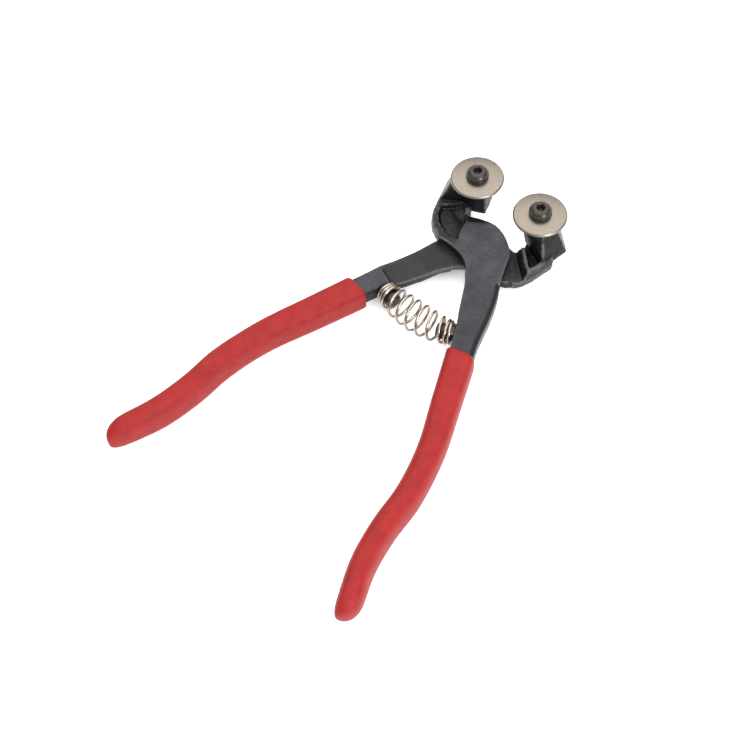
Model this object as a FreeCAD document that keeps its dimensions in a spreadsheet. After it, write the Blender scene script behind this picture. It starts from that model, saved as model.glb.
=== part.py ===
import FreeCAD, Part
import math
import os

# Wheeled nippers: two crossed lever forgings on one rivet, a cutting wheel on each jaw, a return
# spring between the arms and a dipped grip on each handle. Millimetres. The origin is on the rivet's
# axis at the rear lever's back face, +Z is up towards the wheels and +Y runs towards the jaws.
# The rear lever has its jaw on +X and its handle on -X, and the front lever is the other way round.

V = FreeCAD.Vector
Z_AXIS = V(0, 0, 1)

DIMENSIONS = {
    "lap_thickness": 4.5,        # each lever's thickness where they cross
    "joint_thickness": 9.0,      # both laps together
    "seat_height": 18.3,         # underside of the wheels
    "nose_base": 6.0,            # underside of the jaw's nose
    "pocket_depth": 2.6,
    "arm_thickness": 6.5,
    "rear_arm_base": 1.0,
    "front_arm_base": 2.5,
    "arm_angle": 23.5,           # between an arm and the tool's centre line
    "arm_inner": 0.75,           # from the line through the rivet along an arm out to its inner side
    "arm_end": 62.0,             # where the bar has become the tang inside the grip
    "lap_end": 20.0,             # where an arm leaves its lap
    "rear_finger": 11.2,         # from the centre line to the tip of a jaw's nose
    "front_finger": 7.7,
    "wheel_reach_x": 15.2,
    "wheel_reach_y": 19.0,
    "wheel_radius": 10.7,
    "wheel_thickness": 1.6,
    "wheel_bevel": 0.55,
    "shoulder_radius": 3.0,
    "thread_radius": 2.5,
    "thread_length": 8.0,
    "running_gap": 0.04,
    "head_radius": 4.5,
    "head_height": 4.3,
    "head_dome": 1.9,
    "socket_flats": 3.0,
    "socket_depth": 2.4,
    "rivet_radius": 3.5,
    "rivet_head_radius": 5.2,
    "rivet_head_depth": 1.7,
    "stud_radius": 3.2,
    "stud_reach": 7.4,
    "stud_tail_radius": 2.0,
    "stud_tail_length": 5.0,
    "stud_bevel": 0.9,
    "rear_stud_along": 41.0,     # distance from the rivet to a stud along its arm
    "front_stud_along": 41.6,
    "spring_wire": 0.6,
    "spring_mid_radius": 5.9,
    "spring_end_radius": 4.0,
    "spring_turns": 11.0,
    "spring_lead": 8.4,          # how far the spring's axis runs on along each stud before it bends
    "closed_turns": 2.2,         # close-wound turns at each end of the spring
    "closed_pitch": 1.35,
    "spring_gap": 0.2,           # between a closed end and the side of the arm
    "grip_level": 4.7,           # height of the grips' centre line
    "tang_share": 0.55,          # tang's section as a share of the grip's
}

POINTS_PER_TURN = 8          # along the spring's wire
AXIS_STEPS = 60              # along the spring's axis

# Grip stations: distance out from the centre line, distance back from the rivet, half width in the
# plane of the tool and half thickness across it.
GRIP_STATIONS = [
    (25.1, 45.0, 6.0, 6.3),
    (32.3, 62.4, 5.75, 6.55),
    (41.4, 85.4, 5.3, 7.0),
    (45.3, 102.5, 5.05, 7.8),
    (46.4, 117.7, 4.8, 8.0),
    (49.6, 133.1, 4.7, 7.8),
    (53.6, 143.6, 4.6, 7.2),
    (55.9, 148.8, 3.9, 6.0),
    (56.9, 151.0, 2.2, 3.4),
]


def make_sheet(doc):
    sheet = doc.addObject("Spreadsheet::Sheet", "Dimensions")
    for row, (alias, value) in enumerate(DIMENSIONS.items(), start=1):
        sheet.set(f"A{row}", alias)
        sheet.set(f"B{row}", str(value))
        sheet.setAlias(f"B{row}", alias)
    doc.recompute()
    return sheet


class Model:
    """The document, with short calls that bind each new object to the sheet."""

    def __init__(self):
        self.doc = FreeCAD.newDocument("wheeled_nippers")
        self.sheet = make_sheet(self.doc)

    def size(self, alias):
        return self.sheet.get(alias)

    def bind(self, obj, **formulas):
        for name, formula in formulas.items():
            obj.setExpression(name.replace("__", "."), formula)
        return obj

    def add(self, kind, name, **formulas):
        return self.bind(self.doc.addObject(kind, name), **formulas)

    def cylinder(self, name, radius, height, base="0", at=("0", "0")):
        obj = self.add("Part::Cylinder", name, Radius=radius, Height=height)
        return self.bind(obj, Placement__Base__x=at[0], Placement__Base__y=at[1], Placement__Base__z=base)

    def cone(self, name, low, high, height, base, at=("0", "0")):
        obj = self.add("Part::Cone", name, Radius1=low, Radius2=high, Height=height)
        return self.bind(obj, Placement__Base__x=at[0], Placement__Base__y=at[1], Placement__Base__z=base)

    def fuse(self, name, pieces):
        obj = self.doc.addObject("Part::MultiFuse", name)
        obj.Shapes = pieces
        obj.Refine = True
        return obj

    def cut(self, name, base, tool):
        obj = self.doc.addObject("Part::Cut", name)
        obj.Base = base
        obj.Tool = tool
        return obj

    def common(self, name, first, second):
        obj = self.doc.addObject("Part::Common", name)
        obj.Base = first
        obj.Tool = second
        return obj

    def outline(self, name, path, side, base="0"):
        """A closed sketch. Each path item is an end point, or a mid point and an end point of an arc."""
        sketch = self.doc.addObject("Sketcher::SketchObject", name)
        start = path[-1][-1]
        edges = []
        for item in path:
            stops = [V(side * x, y, 0) for x, y in (start,) + tuple(item)]
            if len(stops) == 2:
                edges.append(Part.LineSegment(*stops))
            else:
                edges.append(Part.Arc(*stops))
            start = item[-1]
        sketch.addGeometry(edges, False)
        return self.bind(sketch, Placement__Base__z=base)

    def extrude(self, name, sketch, length):
        obj = self.doc.addObject("Part::Extrusion", name)
        obj.Base = sketch
        obj.DirMode = "Custom"
        obj.Dir = Z_AXIS
        obj.Solid = True
        return self.bind(obj, LengthFwd=length)

    def slab(self, name, path, side, base, length):
        """A prism on an outline, standing on height base."""
        return self.extrude(name, self.outline(name + "_outline", path, side, base), length)

    def loft(self, name, sections, ruled=False):
        obj = self.doc.addObject("Part::Loft", name)
        obj.Sections = sections
        obj.Solid = True
        obj.Ruled = ruled
        return obj


# ---- lever outlines, drawn with the jaw on +X and the arm on -X ----

THROAT = (12.8, 8.6)
JAW_FOOT = (21.4, -2.0)


def neck_path():
    """The lap: a rounded head that runs into the arm on one side and the jaw on the other."""
    return [
        ((-15.7, -6.0), (-17.4, -11.6)),
        ((-6.4, -16.8),),
        ((-3.4, -13.0),),
        ((1.6, -8.4), (9.0, -7.2)),
        ((14.0, -7.0),),
        ((18.4, -5.4), JAW_FOOT),
        (THROAT,),
        ((10.6, 8.1),),
        ((1.9, 10.7), (-5.3, 8.8)),
        ((-11.2, 4.8), (-14.3, -1.0)),
    ]


def jaw_path():
    """The jaw root, outside the other lever's lap: a straight inner wall and a curved outer edge."""
    return [
        ((24.2, 2.6), (25.8, 8.0)),
        ((26.6, 11.6),),
        ((18.6, 14.0),),
        ((14.4, 12.6),),
        (THROAT,),
        (JAW_FOOT,),
    ]


def nose_base_path(finger):
    """The nose's underside: a block under the wheel, blunt towards the other jaw at x = finger."""
    return [
        ((28.8, 19.2),),
        ((28.4, 20.6),),
        ((20.6, 27.2),),
        ((15.6, 28.0), (finger + 2.6, 23.4)),
        ((finger, 14.4),),
        ((finger + 3.0, 12.6),),
        ((finger + 4.4, 10.0),),
        ((18.6, 9.6),),
        ((26.2, 7.6),),
    ]


def nose_seat_path(finger):
    """The nose's top, the seat that the wheel is clamped on."""
    return [
        ((23.4, 16.8),),
        ((22.8, 18.8),),
        ((18.8, 24.0),),
        ((15.2, 25.6), (finger + 3.0, 22.6)),
        ((finger + 1.4, 15.2),),
        ((finger + 4.0, 13.0),),
        ((finger + 5.0, 11.2),),
        ((18.6, 10.6),),
        ((22.6, 11.2),),
    ]


def front_pocket_path():
    """The teardrop pocket beside the lap in the front jaw's face."""
    return [
        ((15.4, -3.8), (20.4, 0.4)),
        ((21.9, 3.0), (22.6, 6.0)),
        ((16.4, 9.4),),
        ((10.8, 6.2),),
        ((9.8, 1.4), (9.2, -3.4)),
    ]


def rear_pocket_path():
    """The long pocket in the rear jaw's face, between its inner ridge and its outer rim."""
    return [
        ((21.6, 3.6),),
        ((23.4, 8.6),),
        ((16.6, 12.4),),
        ((14.2, 10.9),),
    ]


def arm_path(angle, inner):
    """The bare arm, from the lap to a little way inside the grip."""
    back = math.radians(angle)
    axis = V(-math.sin(back), -math.cos(back), 0)
    across = V(-math.cos(back), math.sin(back), 0)

    def at(along, out):
        point = axis * along + across * out
        return (point.x, point.y)

    return [
        (at(17.0, 11.5),),
        (at(34.0, 10.6),),
        (at(53.0, 9.9),),
        (at(58.0, 8.6),),
        (at(58.0, 2.6),),
        (at(50.0, inner),),
        (at(32.0, inner),),
        (at(22.0, 0.1),),
        (at(14.5, -0.9),),
    ]


def arm_profile(model, name, levels, side):
    """A broad prism with the arm's side view, drawn as distance along the arm and height."""
    sketch = model.doc.addObject("Sketcher::SketchObject", name + "_profile")
    corners = [V(along, height, 0) for along, height in levels]
    edges = [Part.LineSegment(a, b) for a, b in zip(corners, corners[1:] + corners[:1])]
    sketch.addGeometry(edges, False)
    back = model.size("arm_angle")
    upright = FreeCAD.Rotation(V(1, 0, 0), 90)
    turn = FreeCAD.Rotation(Z_AXIS, -90 - side * back)
    sketch.Placement = FreeCAD.Placement(V(0, 0, 0), turn * upright)
    obj = model.doc.addObject("Part::Extrusion", name)
    obj.Base = sketch
    obj.DirMode = "Normal"
    obj.Solid = True
    obj.Symmetric = True
    return model.bind(obj, LengthFwd="Dimensions.arm_end")


def grip_sections(model, name, side, share=None):
    """Upright ellipses along the handle's centre line."""
    sections = []
    count = len(GRIP_STATIONS)
    for index, (out, back, half_width, half_height) in enumerate(GRIP_STATIONS):
        before = GRIP_STATIONS[max(index - 1, 0)]
        after = GRIP_STATIONS[min(index + 1, count - 1)]
        run = V(-side * (after[0] - before[0]), -(after[1] - before[1]), 0)
        across = Z_AXIS.cross(run).normalize()
        ellipse = model.doc.addObject("Part::Ellipse", f"{name}_section{index}")
        scale = f" * Dimensions.{share}" if share else ""
        model.bind(ellipse, MajorRadius=f"{half_height}{scale}", MinorRadius=f"{half_width}{scale}")
        turn = FreeCAD.Rotation(Z_AXIS, across, run, "XYZ")
        centre = V(-side * out, -back, model.size("grip_level"))
        ellipse.Placement = FreeCAD.Placement(centre, turn)
        sections.append(ellipse)
    return sections


def make_lever(model, name, side, lap_base, arm_levels, finger, pocket):
    """One forging. side is +1 for a jaw on +X, and -1 for a jaw on -X."""
    height = "Dimensions.joint_thickness"
    lap = model.slab(name + "_lap", neck_path(), side, lap_base, "Dimensions.lap_thickness")
    jaw = model.slab(name + "_jaw", jaw_path(), side, "0", height)
    nose = model.loft(name + "_nose", [
        model.outline(name + "_nose_base", nose_base_path(finger), side, "Dimensions.nose_base"),
        model.outline(name + "_nose_seat", nose_seat_path(finger), side, "Dimensions.seat_height"),
    ], ruled=True)
    arm_outline = arm_path(model.size("arm_angle"), model.size("arm_inner"))
    arm_plan = model.slab(name + "_arm_plan", arm_outline, side, f"-{height}", f"3 * {height}")
    arm = model.common(name + "_arm", arm_plan, arm_profile(model, name + "_arm_side", arm_levels, side))
    tang = model.loft(name + "_tang", grip_sections(model, name + "_tang", side, "tang_share")[:-1])
    blank = model.fuse(name + "_blank", [lap, jaw, nose, arm, tang])

    wheel_at = (f"{side} * Dimensions.wheel_reach_x", "Dimensions.wheel_reach_y")
    pocket_base = "Dimensions.joint_thickness - Dimensions.pocket_depth"
    cuts = [
        model.slab(name + "_pocket", pocket, side, pocket_base, "Dimensions.pocket_depth + 1"),
        model.cylinder(name + "_tapped_hole", "Dimensions.thread_radius", "Dimensions.thread_length",
                       "Dimensions.seat_height - Dimensions.thread_length", wheel_at),
        stud_tail(model, name + "_stud_hole", side),
    ]
    return blank, cuts


def rivet_blank(model, name, gap):
    """Shank with a countersunk head at each end, flush with both laps."""
    head = "Dimensions.rivet_head_depth"
    shank_radius = f"Dimensions.rivet_radius + {gap}"
    head_radius = f"Dimensions.rivet_head_radius + {gap}"
    return model.fuse(name, [
        model.cylinder(name + "_shank", shank_radius, "Dimensions.joint_thickness"),
        model.cone(name + "_back_head", head_radius, shank_radius, head, "0"),
        model.cone(name + "_front_head", shank_radius, head_radius, head,
                   f"Dimensions.joint_thickness - {head}"),
    ])


def stud_place(model, side, proud):
    """A point on a stud's axis, proud of its arm's inner side, with +Z pointing across to the other arm."""
    back = math.radians(model.size("arm_angle"))
    axis = V(-side * math.sin(back), -math.cos(back), 0)
    inward = V(side * math.cos(back), -math.sin(back), 0)
    arm = "rear" if side > 0 else "front"
    point = axis * model.size(arm + "_stud_along") + inward * (proud - model.size("arm_inner"))
    point.z = model.size(arm + "_arm_base") + model.size("arm_thickness") / 2
    return FreeCAD.Placement(point, FreeCAD.Rotation(Z_AXIS, inward))


def stud_tail(model, name, side):
    tail = model.add("Part::Cylinder", name, Radius="Dimensions.stud_tail_radius",
                     Height="Dimensions.stud_tail_length")
    tail.Placement = stud_place(model, side, -model.size("stud_tail_length"))
    return tail


def make_stud(model, name, side):
    """Spring stud: a bevelled head standing on the arm and a tail pressed into it."""
    straight = model.size("stud_reach") - model.size("stud_bevel")
    head = model.add("Part::Cylinder", name + "_head", Radius="Dimensions.stud_radius",
                     Height="Dimensions.stud_reach - Dimensions.stud_bevel")
    head.Placement = stud_place(model, side, 0)
    tip = model.add("Part::Cone", name + "_tip", Radius1="Dimensions.stud_radius",
                    Radius2="Dimensions.stud_radius - Dimensions.stud_bevel",
                    Height="Dimensions.stud_bevel")
    tip.Placement = stud_place(model, side, straight)
    return model.fuse(name, [head, tip, stud_tail(model, name + "_tail", side)])


def make_wheel(model, name, side):
    """A flat disc with bevelled rims and a bore that runs on the screw's shoulder."""
    at = (f"{side} * Dimensions.wheel_reach_x", "Dimensions.wheel_reach_y")
    seat = "Dimensions.seat_height"
    bevel = "Dimensions.wheel_bevel"
    inner = f"Dimensions.wheel_radius - {bevel}"
    disc = model.fuse(name + "_disc", [
        model.cone(name + "_low_bevel", inner, "Dimensions.wheel_radius", bevel, seat, at),
        model.cylinder(name + "_rim", "Dimensions.wheel_radius", f"Dimensions.wheel_thickness - 2 * {bevel}",
                       f"{seat} + {bevel}", at),
        model.cone(name + "_high_bevel", "Dimensions.wheel_radius", inner, bevel,
                   f"{seat} + Dimensions.wheel_thickness - {bevel}", at),
    ])
    bore = model.cylinder(name + "_bore", "Dimensions.shoulder_radius + Dimensions.running_gap",
                          "Dimensions.wheel_thickness + 2", f"{seat} - 1", at)
    return model.cut(name, disc, bore)


def make_wheel_screw(model, name, side):
    """Domed socket head, a shoulder that the wheel runs on, and a shank screwed into the nose."""
    at = (f"{side} * Dimensions.wheel_reach_x", "Dimensions.wheel_reach_y")
    seat = "Dimensions.seat_height"
    head_base = f"{seat} + Dimensions.wheel_thickness"
    ball = model.add("Part::Sphere", name + "_dome",
                     Radius="(Dimensions.head_radius ^ 2 + Dimensions.head_dome ^ 2) / (2 * Dimensions.head_dome)")
    straight = f"{head_base} + Dimensions.head_height - Dimensions.head_dome"
    model.bind(ball, Placement__Base__x=at[0], Placement__Base__y=at[1],
               Placement__Base__z=f"{straight} + Dimensions.head_dome - "
               "(Dimensions.head_radius ^ 2 + Dimensions.head_dome ^ 2) / (2 * Dimensions.head_dome)")
    drum = model.cylinder(name + "_drum", "Dimensions.head_radius", "Dimensions.head_height", head_base, at)
    head = model.common(name + "_head", drum, ball)
    shank = model.fuse(name + "_shank", [
        model.cylinder(name + "_shoulder", "Dimensions.shoulder_radius", "Dimensions.wheel_thickness", seat, at),
        model.cylinder(name + "_thread", "Dimensions.thread_radius", "Dimensions.thread_length",
                       f"{seat} - Dimensions.thread_length", at),
    ])
    socket = model.add("Part::Prism", name + "_socket", Circumradius="Dimensions.socket_flats / 1.7320508",
                       Height="Dimensions.socket_depth + 1")
    socket.Polygon = 6
    model.bind(socket, Placement__Base__x=at[0], Placement__Base__y=at[1],
               Placement__Base__z=f"{head_base} + Dimensions.head_height - Dimensions.socket_depth")
    return model.cut(name, model.fuse(name + "_solid", [head, shank]), socket)


def spring_line(model):
    """Points and directions along the spring's axis, which leaves each stud along that stud's own axis."""
    seat = model.size("spring_wire") + model.size("spring_gap")
    lead = model.size("spring_lead")
    first, second = stud_place(model, 1, seat).Base, stud_place(model, 1, seat + lead).Base
    last, third = stud_place(model, -1, seat).Base, stud_place(model, -1, seat + lead).Base
    line = []
    for step in range(AXIS_STEPS + 1):
        t = step / AXIS_STEPS
        centre = (first * (1 - t) ** 3 + second * (3 * t * (1 - t) ** 2) + third * (3 * t ** 2 * (1 - t))
                  + last * t ** 3)
        run = (second - first) * (1 - t) ** 2 + (third - second) * (2 * t * (1 - t)) + (last - third) * t ** 2
        line.append((centre, run.normalize()))
    return line


def at_length(line, length):
    """Centre and direction of a line of points at a distance along it."""
    for (start, run), (end, _) in zip(line, line[1:]):
        gap = (end - start).Length
        if length <= gap:
            break
        length -= gap
    return start + (end - start) * min(length / gap, 1), run


def make_spring(model, name):
    """Barrel spring between the studs' feet, close wound at both ends."""
    line = spring_line(model)
    length = sum((b[0] - a[0]).Length for a, b in zip(line, line[1:]))
    turns = model.size("spring_turns")
    closed = model.size("closed_turns")
    shut = closed * model.size("closed_pitch")
    end = model.size("spring_end_radius")
    swell = model.size("spring_mid_radius") - end
    steps = int(turns * POINTS_PER_TURN)
    points = []
    for step in range(steps + 1):
        turn = turns * step / steps
        if turn < closed:
            along = shut * turn / closed
        elif turn > turns - closed:
            along = length - shut * (turns - turn) / closed
        else:
            along = shut + (length - 2 * shut) * (turn - closed) / (turns - 2 * closed)
        centre, run = at_length(line, along)
        across = Z_AXIS.cross(run).normalize()
        up = run.cross(across)
        radius = end + swell * math.sin(math.pi * along / length)
        angle = 2 * math.pi * turn
        points.append(centre + across * (radius * math.cos(angle)) + up * (radius * math.sin(angle)))
    curve = Part.BSplineCurve()
    curve.interpolate(points)
    start = curve.FirstParameter
    ring = Part.Circle(curve.value(start), curve.tangent(start)[0], model.size("spring_wire"))
    shape = Part.Wire([curve.toShape()]).makePipeShell([Part.Wire([ring.toShape()])], True, True)
    spring = model.doc.addObject("Part::Feature", name)
    spring.Shape = shape
    return spring


def make_grip(model, name, side, lever):
    """A dipped sleeve, closed at its far end, that fits its lever's tang exactly."""
    sleeve = model.loft(name + "_sleeve", grip_sections(model, name, side))
    return model.cut(name, sleeve, lever)


def build():
    model = Model()
    gap = "Dimensions.running_gap"
    rear_base = model.size("rear_arm_base")
    front_base = model.size("front_arm_base")
    thickness = model.size("arm_thickness")
    lap = model.size("lap_thickness")
    # the rear arm leaves its lap low and climbs a ramp, and the front arm runs level with its lap
    start, leave, end = 0.4 * model.size("lap_end"), model.size("lap_end"), model.size("arm_end")
    rear_levels = [(start, 0), (leave, 0), (leave + 8, rear_base), (end, rear_base),
                   (end, rear_base + thickness), (leave + 15, rear_base + thickness),
                   (leave + 2, lap), (start, lap)]
    front_levels = [(start, lap), (leave, lap), (leave + 3, front_base), (end, front_base),
                    (end, front_base + thickness), (start, front_base + thickness)]

    rear_blank, rear_cuts = make_lever(model, "rear_lever", 1, "0", rear_levels,
                                       model.size("rear_finger"), rear_pocket_path())
    front_blank, front_cuts = make_lever(model, "front_lever", -1, "Dimensions.lap_thickness", front_levels,
                                         model.size("front_finger"), front_pocket_path())
    rear_cuts.append(rivet_blank(model, "rear_rivet_hole", "0"))
    front_cuts.append(rivet_blank(model, "front_rivet_hole", gap))
    rear_lever = model.cut("rear_lever", rear_blank, model.fuse("rear_cuts", rear_cuts))
    front_lever = model.cut("front_lever", front_blank, model.fuse("front_cuts", front_cuts))

    nodes = [rear_lever, front_lever, rivet_blank(model, "pivot_rivet", "0")]
    nodes.append(make_spring(model, "return_spring"))
    for prefix, side, lever in (("rear", 1, rear_lever), ("front", -1, front_lever)):
        nodes.append(make_grip(model, prefix + "_grip", side, lever))
        nodes.append(make_stud(model, prefix + "_spring_stud", side))
        nodes.append(make_wheel(model, prefix + "_cutting_wheel", side))
        nodes.append(make_wheel_screw(model, prefix + "_wheel_screw", side))
    for node in nodes:
        node.Label = node.Name
    return model.doc, nodes


def check(doc, nodes):
    for obj in doc.Objects:
        if "Invalid" in obj.State or "Error" in obj.State:
            raise RuntimeError(f"{obj.Name} did not rebuild: {obj.State}")
    for node in nodes:
        if node.Shape.isNull() or not node.Shape.isValid():
            raise RuntimeError(f"{node.Label} has no valid shape")


def main():
    doc, nodes = build()
    doc.recompute()
    check(doc, nodes)
    os.makedirs("parts", exist_ok=True)
    for node in nodes:
        node.Shape.exportStep(f"parts/{node.Label}.step")
        print(node.Label, len(node.Shape.Solids), round(node.Shape.Volume, 1))


main()
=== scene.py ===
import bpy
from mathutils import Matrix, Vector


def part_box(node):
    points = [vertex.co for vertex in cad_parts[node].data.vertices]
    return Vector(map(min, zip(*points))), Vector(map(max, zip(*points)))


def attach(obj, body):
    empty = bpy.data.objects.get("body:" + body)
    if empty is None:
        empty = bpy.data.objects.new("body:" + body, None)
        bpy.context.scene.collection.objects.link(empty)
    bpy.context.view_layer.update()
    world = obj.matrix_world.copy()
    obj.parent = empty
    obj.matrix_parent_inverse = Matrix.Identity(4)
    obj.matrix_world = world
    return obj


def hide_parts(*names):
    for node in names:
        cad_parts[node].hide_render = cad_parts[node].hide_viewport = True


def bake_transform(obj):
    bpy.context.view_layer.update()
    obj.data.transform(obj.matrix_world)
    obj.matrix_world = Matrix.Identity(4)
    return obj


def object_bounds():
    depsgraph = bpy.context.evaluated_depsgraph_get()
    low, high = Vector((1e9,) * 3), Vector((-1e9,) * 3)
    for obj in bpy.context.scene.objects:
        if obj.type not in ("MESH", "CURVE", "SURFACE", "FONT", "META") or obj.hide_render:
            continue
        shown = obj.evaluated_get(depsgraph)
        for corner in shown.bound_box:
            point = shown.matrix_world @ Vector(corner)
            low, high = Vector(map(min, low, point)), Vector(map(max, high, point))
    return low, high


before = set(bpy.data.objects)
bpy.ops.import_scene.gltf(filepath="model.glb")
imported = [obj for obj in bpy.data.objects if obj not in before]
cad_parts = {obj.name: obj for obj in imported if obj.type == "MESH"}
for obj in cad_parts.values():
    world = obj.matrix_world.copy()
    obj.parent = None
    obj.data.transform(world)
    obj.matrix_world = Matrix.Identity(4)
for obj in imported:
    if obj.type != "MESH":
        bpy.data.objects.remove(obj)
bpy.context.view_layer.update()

import math

import bpy
import numpy as np
from mathutils import Matrix, Vector

# Wheeled glass nippers. Shapes are worked out in millimetres and stored in metres. The frame's origin is
# on the rivet's axis at the back face, +Z points to the wheels and +Y to the jaws. Lever shapes are drawn
# with the jaw on +u and the arm on -u; u is X on the rear lever and -X on the front one.

MM = 0.001
REAR, FRONT = 1, -1
JOINT_FACE = 9.0          # height of the front lever's face
LAP_FACE = 4.5            # height where the two laps meet
NOSE_BASE = 6.0
FLANGE_RADIUS = 8.2
ARM_ANGLE = math.radians(23.5)


def node_size(node):
    """Lowest corner and highest corner of a CAD node in millimetres."""
    low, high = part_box(node)
    return low / MM, high / MM


WHEEL_LOW, WHEEL_HIGH = node_size("rear_cutting_wheel")
WHEEL_RADIUS = (WHEEL_HIGH.x - WHEEL_LOW.x) / 2
WHEEL_CENTRE = ((WHEEL_LOW.x + WHEEL_HIGH.x) / 2, (WHEEL_LOW.y + WHEEL_HIGH.y) / 2)
SEAT_HEIGHT = WHEEL_LOW.z
WHEEL_TOP = WHEEL_HIGH.z
SCREW_TOP = node_size("rear_wheel_screw")[1].z


# ---------------------------------------------------------------- mesh helpers

def add_mesh(name, points, faces, material):
    """A new object from points in millimetres."""
    mesh = bpy.data.meshes.new(name)
    mesh.from_pydata((np.asarray(points) * MM).tolist(), [], [list(map(int, f)) for f in faces])
    mesh.validate()
    mesh.update()
    mesh.materials.append(material)
    mesh.shade_smooth()
    piece = bpy.data.objects.new(name, mesh)
    bpy.context.scene.collection.objects.link(piece)
    return piece


def place(piece, body, replaced):
    """Puts a finished piece on its body and lets it stand for a CAD node."""
    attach(piece, body)
    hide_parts(replaced)


def grid_faces(rows, columns):
    """Quads of a rows x columns grid of points, closed round each row."""
    faces = []
    for row in range(rows - 1):
        for column in range(columns):
            after = (column + 1) % columns
            faces.append((row * columns + column, row * columns + after,
                          (row + 1) * columns + after, (row + 1) * columns + column))
    return faces


def lathe(name, profile, centre, material, segments=128, shape=None):
    """Turns (radius, height) stations about a vertical axis. shape may bend a station's ring."""
    angles = np.linspace(0, 2 * math.pi, segments, endpoint=False)
    rings = []
    for index, (radius, height) in enumerate(profile):
        reach = np.full(segments, radius) if shape is None else shape(index, radius, angles)
        rings.append(np.stack([centre[0] + reach * np.cos(angles), centre[1] + reach * np.sin(angles),
                               np.full(segments, height)], 1))
    points = np.concatenate(rings)
    faces = grid_faces(len(profile), segments)
    faces.insert(0, tuple(range(segments))[::-1])
    last = (len(profile) - 1) * segments
    faces.append(tuple(range(last, last + segments)))
    return add_mesh(name, points, faces, material)


# ---------------------------------------------------------------- solid fields
# A field is a grid of distances in millimetres, negative inside the metal.

VOXEL = 0.3


def smooth_max(a, b, k):
    """Largest of two fields with an edge rounded by about k."""
    blend = np.clip(0.5 + 0.5 * (a - b) / k, 0, 1)
    return b + (a - b) * blend + k * blend * (1 - blend)


def smooth_min(a, b, k):
    return -smooth_max(-a, -b, k)


def curve_round(points, steps=6):
    """Closed smooth curve through the points; a point given twice stays a corner."""
    count = len(points)
    shape = np.array(points, float)
    out = []
    for i in range(count):
        before, start, end, after = (shape[(i + k) % count] for k in (-1, 0, 1, 2))
        if np.allclose(start, end):
            continue
        for t in np.linspace(0, 1, steps, endpoint=False):
            out.append(0.5 * ((2 * start) + (end - before) * t
                              + (2 * before - 5 * start + 4 * end - after) * t ** 2
                              + (3 * start - before - 3 * end + after) * t ** 3))
    return np.array(out)


def outline_field(points, u, y):
    """Signed distance to a closed outline, negative inside."""
    nearest = np.full(np.broadcast(u, y).shape, 1e9)
    inside = np.zeros(nearest.shape, bool)
    for (ax, ay), (bx, by) in zip(points, np.roll(points, -1, axis=0)):
        ex, ey = bx - ax, by - ay
        px, py = u - ax, y - ay
        along = np.clip((px * ex + py * ey) / (ex * ex + ey * ey + 1e-12), 0, 1)
        nearest = np.minimum(nearest, (px - ex * along) ** 2 + (py - ey * along) ** 2)
        crosses = (ay > y) != (by > y)
        if ay != by:
            inside ^= crosses & (u < ax + (y - ay) * ex / ey)
    return np.where(inside, -1, 1) * np.sqrt(nearest)


def prism(flat, z, low, high, edge):
    """An outline's field raised between two heights with rounded rims."""
    return smooth_max(flat, np.maximum(low - z, z - high), edge)


def value_noise(u, y, z, scale, seed):
    """Smooth random field between -1 and 1 with lumps of the given size."""
    table = np.random.default_rng(seed).uniform(-1, 1, (32, 32, 32)).astype(np.float32)
    total = 0
    cells = [(axis / scale) for axis in (u, y, z)]
    whole = [np.floor(c).astype(int) for c in cells]
    part = [c - w for c, w in zip(cells, whole)]
    part = [p * p * (3 - 2 * p) for p in part]
    for corner in range(8):
        steps = [(corner >> k) & 1 for k in range(3)]
        weight = 1
        for p, step in zip(part, steps):
            weight = weight * (p if step else 1 - p)
        index = [(w + step) % 32 for w, step in zip(whole, steps)]
        total = total + weight * table[index[0], index[1], index[2]]
    return total


def surface_net(field, origin, step):
    """Points and quads of the field's zero surface, one point in each cell that it crosses."""
    inside = field < 0
    mixed = np.zeros(tuple(n - 1 for n in field.shape), bool)
    first = inside[:-1, :-1, :-1]
    corners = [(i, j, k) for i in (0, 1) for j in (0, 1) for k in (0, 1)]

    def shifted(block, corner):
        return block[tuple(slice(c, n - 1 + c) for c, n in zip(corner, block.shape))]

    for corner in corners[1:]:
        mixed |= shifted(inside, corner) != first
    cells = np.argwhere(mixed)
    values = {c: field[tuple((cells + c).T)] for c in corners}
    total = np.zeros((len(cells), 3))
    count = np.zeros(len(cells))
    for low in corners:
        for axis in range(3):
            if low[axis]:
                continue
            high = tuple(c + (k == axis) for k, c in enumerate(low))
            a, b = values[low], values[high]
            crossed = (a < 0) != (b < 0)
            share = np.where(crossed, a / np.where(crossed, a - b, 1), 0)
            point = np.array(low, float) + np.zeros((len(cells), 3))
            point[:, axis] += share
            total += point * crossed[:, None]
            count += crossed
    points = origin + (cells + total / count[:, None]) * step
    number = np.full(mixed.shape, -1, np.int64)
    number[tuple(cells.T)] = np.arange(len(cells))
    faces = []
    for axis in range(3):
        others = [k for k in range(3) if k != axis]
        low = [slice(1, n - 1) for n in field.shape]
        low[axis] = slice(0, field.shape[axis] - 1)
        high = list(low)
        high[axis] = slice(1, field.shape[axis])
        a, b = inside[tuple(low)], inside[tuple(high)]
        edges = np.argwhere(a != b)
        leaving = a[tuple(edges.T)]
        base = edges.copy()
        ring = []
        for du, dv in ((0, 0), (1, 0), (1, 1), (0, 1)):
            cell = base.copy()
            cell[:, others[0]] += du
            cell[:, others[1]] += dv
            ring.append(number[tuple(cell.T)])
        quad = np.stack(ring, 1)
        flip = leaving == (axis == 1)
        quad[flip] = quad[flip][:, ::-1]
        faces.append(quad)
    return points, np.concatenate(faces)


# ---------------------------------------------------------------- lever forgings
# Outlines run round the shape; a point given twice is a corner.

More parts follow.
